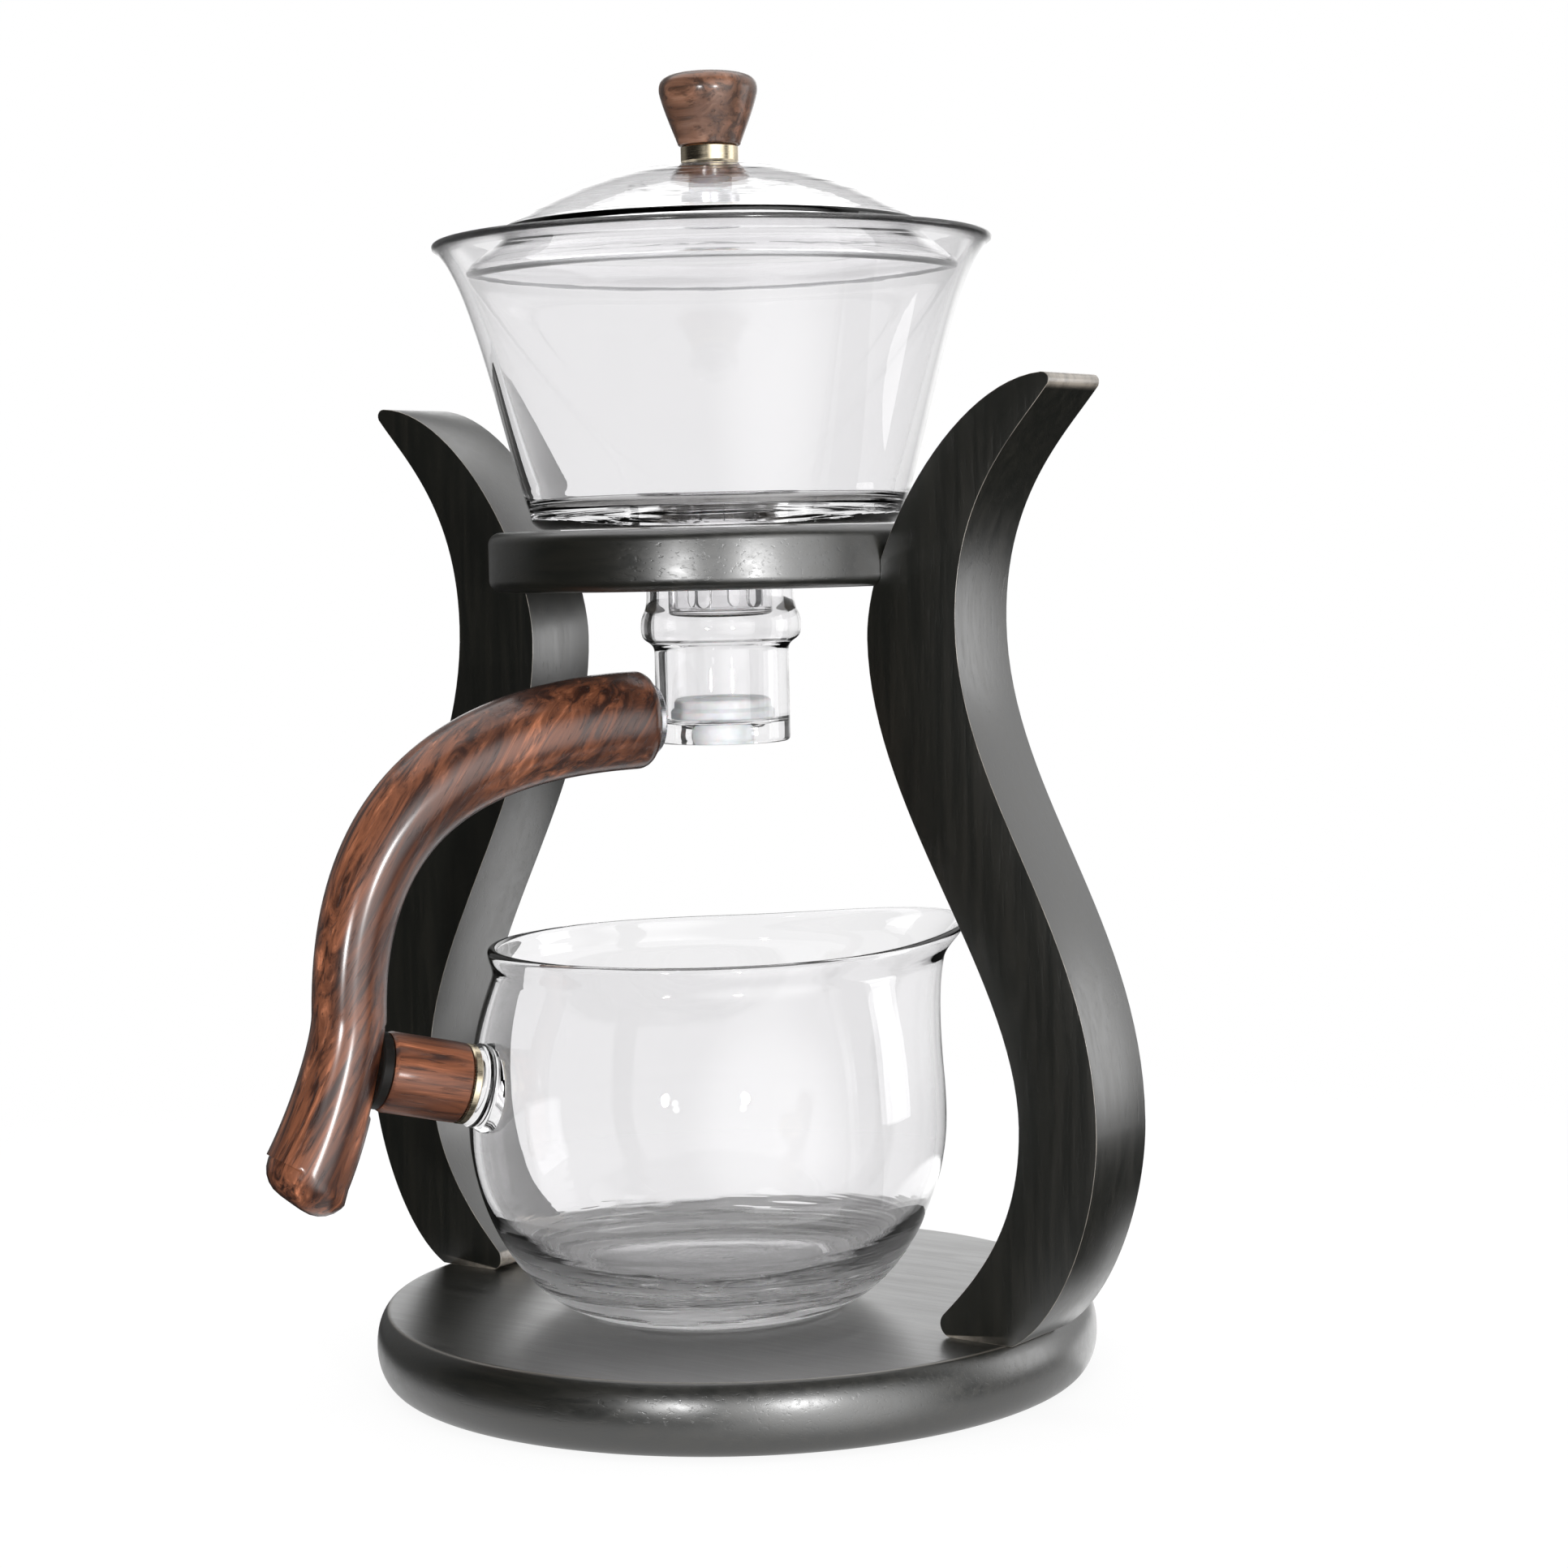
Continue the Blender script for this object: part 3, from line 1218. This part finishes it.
class DRIPPER_OT_handle(bpy.types.Operator):
    """Sweep the handle's round section from the magnet over the jug and down past the peg"""

    bl_idname = "dripper.handle"
    bl_label = "Handle"

    def execute(self, context):
        stations = handle_stations()
        x, z, turn, half = stations[0]
        clear_selection()
        bpy.ops.mesh.primitive_circle_add(vertices=64, radius=half * MM, fill_type="NOTHING")
        edit()
        # The circle faces +Z, so it is laid over to face along the handle
        bpy.ops.transform.rotate(value=turn - QUARTER, orient_axis="Y", center_override=(0, 0, 0))
        bpy.ops.transform.translate(value=(x * MM, 0, z * MM))
        follow(stations)
        bpy.ops.mesh.edge_face_add()
        bpy.ops.mesh.select_all(action="DESELECT")
        bpy.ops.mesh.select_non_manifold()
        bpy.ops.mesh.edge_face_add()
        close_up()
        arm = named("shaped_handle")
        round_edges(arm, 0.35, 2, 50)
        reach = sizes("dripper_handle")["peg_r"] + 2
        seat = peg_start() + RING_T + PEG_L
        end = seat + COLLAR_T
        flat = turned("flat", [(0, seat), (reach, seat), (reach, end), (0, end)], 96)
        place(flat, peg_in_jug())
        carve(arm, flat)
        socket = turned("socket", [(0, -2), (7.6, -2), (7.6, 6.1), (0, 6.1)], 96)
        place(socket, magnet_frame())
        carve(arm, socket)
        soften(arm, 35)
        place(arm, jug_frame())
        finish_piece(arm, "jug", "red_wood", "handle_wood", "handle_arm")
        bore, r, deep = 6.3, 7.5, 6
        outline = [
            (bore, 4.8), (0, 4.8), (0, deep), (r - 0.3, deep), (r, deep - 0.3), (r, 0.4), (r - 0.4, 0),
            (bore + 0.15, 0), (bore, 0.15),
        ]
        places = (jug_frame(), magnet_frame())
        fitting("steel_cup", 0, outline, 128, "jug", "steel", "magnet_cup", places)
        return {"FINISHED"}


class DRIPPER_OT_materials(bpy.types.Operator):
    """Mix the shared shader groups and the materials"""

    bl_idname = "dripper.materials"
    bl_label = "Materials"

    def execute(self, context):
        look, handle = sizes("dripper_finish"), sizes("dripper_handle")

        def along_handle(tilt):
            """Turn that lays the grain along a line in the handle's plane."""
            lean = Matrix.Rotation(tilt, 3, "Y") @ Matrix.Rotation(-handle["turn"], 3, "Z")
            return tuple(lean.to_euler())

        SHARED["wood_grain"] = wood_grain_group()
        SHARED["edge_wear"] = edge_wear_group()
        SHARED["stain_up"] = stained_wood("stained_wood_up", (0, 0, 0), 0.62)
        SHARED["stain_across"] = stained_wood("stained_wood_across", (0, QUARTER, 0), 0.38)
        SHARED["handle_wood"] = oiled_wood("handle_wood", "red", along_handle(math.radians(32)))
        peg_turn = along_handle(handle["peg_tilt"] - QUARTER)
        SHARED["peg_wood"] = oiled_wood("peg_wood", "red", peg_turn, 1.25, 0.35)
        SHARED["knob_wood"] = oiled_wood("knob_wood", "brown", (0, QUARTER, 0.4), 1.8, 0.8)
        SHARED["brass"] = metal("brass", look["brass"], 0.16)
        SHARED["steel"] = metal("steel", look["steel"], 0.2)
        SHARED["glass"] = glass("clear_glass")
        SHARED["jug_glass"] = glass("thick_glass", -handle["pull"])
        SHARED["silicone"] = silicone("white_silicone", look["silicone"], 0.0)
        SHARED["clear_silicone"] = silicone("clear_silicone", look["washer"], 0.4)
        SHARED["dark_collar"] = silicone("dark_collar", look["collar"], 0.0)
        SHARED["foam"] = foam("base_foam")
        SHARED["pale_wood"] = pale_wood("dowel_wood")
        return {"FINISHED"}


class DRIPPER_OT_hardware(bpy.types.Operator):
    """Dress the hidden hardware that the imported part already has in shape"""

    bl_idname = "dripper.hardware"
    bl_label = "Hidden hardware"

    def execute(self, context):
        for node, look in (
            ("base_pad", "foam"), ("base_screws", "brass"), ("ring_dowels", "pale_wood"),
            ("valve_magnet", "steel"), ("lid_screw", "steel"), ("peg_rod", "steel"),
            ("handle_magnet", "steel"),
        ):
            dress(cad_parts[node], look)
        return {"FINISHED"}


# ---- Stage, in metres ----

TABLE_R = 0.45
TABLE_FADE = (0.22, 0.42)  # radii between which the table fades into the backdrop
TABLE_MIRRORED = (0.092, 0.12)  # radii between which reflections lose the table
BEHIND = (0, 0.10, 0)  # centre of the patch of table that stays in reflections
BEHIND_FADE = (0.094, 0.112)  # radii between which that patch ends
LAMPS = (  # name, place, aim, size, watts, shape
    ("window_lamp", (0.8, 0.8, 0.15), (0, 0, 0.10), 0.5, 1.6, "RECTANGLE"),
    ("top_lamp", (-0.15, 0.1, 1.2), (0, 0, 0.1), 1.5, 9.0, "RECTANGLE"),
    ("round_lamp_right", (0.68, -0.49, 0.124), (0, 0, 0.08), 0.05, 1.9, "DISK"),
    ("round_lamp_left", (0.26, -0.80, 0.124), (0, 0, 0.08), 0.05, 1.9, "DISK"),
)
CAMERA_PLACE = (0.43097, -0.57017, 0.18254)
CAMERA_TURN = (1.49714, 0.022723, 0.627229)
CAMERA_LENS = 74.459
CAMERA_SENSOR = 36


def lamp(name, place_at, aim, size, watts, shape):
    """Area lamp at a place, aimed at a point."""
    data = bpy.data.lights.new(name, "AREA")
    data.shape = shape
    data.size = data.size_y = size
    data.energy = watts
    light = bpy.data.objects.new(name, data)
    light.location = place_at
    light.rotation_euler = (Vector(aim) - Vector(place_at)).to_track_quat("-Z", "Y").to_euler()
    bpy.context.scene.collection.objects.link(light)


def camera():
    """Camera at the viewing angle of the piece."""
    data = bpy.data.cameras.new("camera")
    data.sensor_width = CAMERA_SENSOR
    data.lens = CAMERA_LENS
    data.clip_start = 0.01
    data.clip_end = 20
    eye = bpy.data.objects.new("camera", data)
    eye.location = CAMERA_PLACE
    eye.rotation_euler = CAMERA_TURN
    bpy.context.scene.collection.objects.link(eye)
    bpy.context.scene.camera = eye


def studio_world(backdrop):
    """White to the camera and through glass, soft bright patches in reflections, plain grey as light."""
    world = bpy.data.worlds.new("studio")
    world.use_nodes = True
    tree = world.node_tree
    way = add(tree, "ShaderNodeTexCoord").outputs["Generated"]
    height = add(tree, "ShaderNodeSeparateXYZ", {0: way}).outputs[2]
    bearing = add(
        tree, "ShaderNodeVectorMath", {0: stretched(tree, way, (1, 1, 0))}, operation="NORMALIZE"
    ).outputs[0]

    def patch(direction, centre, low, high, level):
        """Soft patch of light round a direction, from how near the cosines come to it."""
        return remap(tree, measured(tree, "DOT_PRODUCT", direction, centre), low, high, 0.0, level)

    back_wall = patch(bearing, (0.5, 0.866, 0), 0.70, 0.90, 1.05)
    low_wall = patch(bearing, (-0.5, 0.866, 0), 0.90, 0.97, 1.9)
    low_wall = times(tree, low_wall, remap(tree, height, 0.45, 0.28, 0.1, 1.0))
    left_wall = patch(bearing, (-0.9, 0.43, 0), 0.55, 0.85, 0.2)
    right_glow = patch(way, (0.92, -0.39, -0.06), 0.74, 0.99, 2.5)
    walls = math_node(tree, "MAXIMUM", math_node(tree, "MAXIMUM", back_wall, low_wall), left_wall)
    for fall in ((-0.20, -0.02, 0.0, 1.0), (-0.05, 0.6, 0.6, 1.15), (0.92, 0.68, 0.1, 1.0)):
        walls = times(tree, walls, remap(tree, height, *fall))
    mirrored = math_node(tree, "ADD", math_node(tree, "ADD", walls, right_glow), 0.02)

    path = add(tree, "ShaderNodeLightPath").outputs
    plain = times(tree, path["Is Diffuse Ray"], 0.46)
    unseen = math_node(tree, "ADD", times(tree, path["Is Glossy Ray"], mirrored), plain)
    seen = math_node(tree, "MAXIMUM", path["Is Camera Ray"], path["Is Transmission Ray"])
    strength = add(tree, "ShaderNodeMix", {0: seen, 2: unseen, 3: backdrop}).outputs[0]
    feed(tree, tree.nodes["Background"], Color=(1, 1, 1), Strength=strength)
    bpy.context.scene.world = world


def table_material(backdrop):
    """White table that takes a soft shadow, fades out, and is mirrored behind the stand only."""
    matt_level, glow_share = 0.86, 0.84
    material, tree, shader = tree_of("white_table")
    tree.nodes.remove(shader)
    path = add(tree, "ShaderNodeLightPath").outputs
    seen = math_node(tree, "MAXIMUM", path["Is Camera Ray"], path["Is Transmission Ray"])
    mirrored = math_node(tree, "SUBTRACT", path["Is Glossy Ray"], seen, clamp=True)
    spot = add(tree, "ShaderNodeTexCoord").outputs["Object"]
    far = measured(tree, "LENGTH", spot)
    off_patch = remap(tree, measured(tree, "DISTANCE", spot, BEHIND), *BEHIND_FADE)
    unmirrored = math_node(tree, "MINIMUM", off_patch, remap(tree, far, *TABLE_MIRRORED, 0.5, 1.0))
    gone = math_node(tree, "MAXIMUM", remap(tree, far, *TABLE_FADE), times(tree, unmirrored, mirrored))
    matt = add(tree, "ShaderNodeBsdfDiffuse", {"Color": [matt_level] * 3})
    strength = math_node(tree, "ADD", times(tree, mirrored, 0.6), backdrop * 1.07)
    glow = add(tree, "ShaderNodeEmission", {"Color": (1, 1, 1), "Strength": strength})
    share = times(tree, math_node(tree, "MAXIMUM", seen, mirrored), glow_share)
    lit = add(tree, "ShaderNodeMixShader", {0: share, 1: matt.outputs[0], 2: glow.outputs[0]})
    clear = add(tree, "ShaderNodeBsdfTransparent")
    fade = add(tree, "ShaderNodeMixShader", {0: gone, 1: lit.outputs[0], 2: clear.outputs[0]})
    feed(tree, tree.nodes["Material Output"], Surface=fade.outputs[0])
    return material


class DRIPPER_OT_stage(bpy.types.Operator):
    """Set the table, the lamps, the world and the camera"""

    bl_idname = "dripper.stage"
    bl_label = "Stage"

    def execute(self, context):
        backdrop = sizes("dripper_finish")["backdrop"]
        clear_selection()
        bpy.ops.mesh.primitive_circle_add(vertices=96, radius=TABLE_R, fill_type="NGON")
        table = named("table")
        table.data.materials.append(table_material(backdrop))
        studio_world(backdrop)
        for facts in LAMPS:
            lamp(*facts)
        camera()
        context.scene.view_settings.view_transform = "Standard"
        return {"FINISHED"}


# ---- Sidebar and registration ----


OPERATORS = (
    DRIPPER_OT_materials, DRIPPER_OT_base, DRIPPER_OT_posts, DRIPPER_OT_ring, DRIPPER_OT_bowl,
    DRIPPER_OT_strainer, DRIPPER_OT_valve, DRIPPER_OT_lid, DRIPPER_OT_jug, DRIPPER_OT_peg,
    DRIPPER_OT_handle, DRIPPER_OT_hardware, DRIPPER_OT_stage,
)


class DRIPPER_PT_panel(bpy.types.Panel):
    """Sizes, colours and pieces of the dripper"""

    bl_idname = "DRIPPER_PT_panel"
    bl_label = "Coffee dripper"
    bl_space_type = "VIEW_3D"
    bl_region_type = "UI"
    bl_category = "Dripper"

    def draw(self, context):
        for name, _ in GROUPS:
            box = self.layout.box()
            values = getattr(context.scene, name)
            for key in values.__annotations__:
                box.prop(values, key)
        for operator in OPERATORS:
            self.layout.operator(operator.bl_idname)


CLASSES = tuple(group for _, group in GROUPS) + OPERATORS + (DRIPPER_PT_panel,)


def register():
    for cls in CLASSES:
        bpy.utils.register_class(cls)
    for name, group in GROUPS:
        setattr(bpy.types.Scene, name, bpy.props.PointerProperty(type=group))


def unregister():
    for name, _ in GROUPS:
        delattr(bpy.types.Scene, name)
    for cls in reversed(CLASSES):
        bpy.utils.unregister_class(cls)


def main():
    """Register the add-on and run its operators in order."""
    register()
    for operator in OPERATORS:
        prefix, name = operator.bl_idname.split(".")
        getattr(getattr(bpy.ops, prefix), name)()
    clear_selection()


if __name__ == "__main__":
    main()
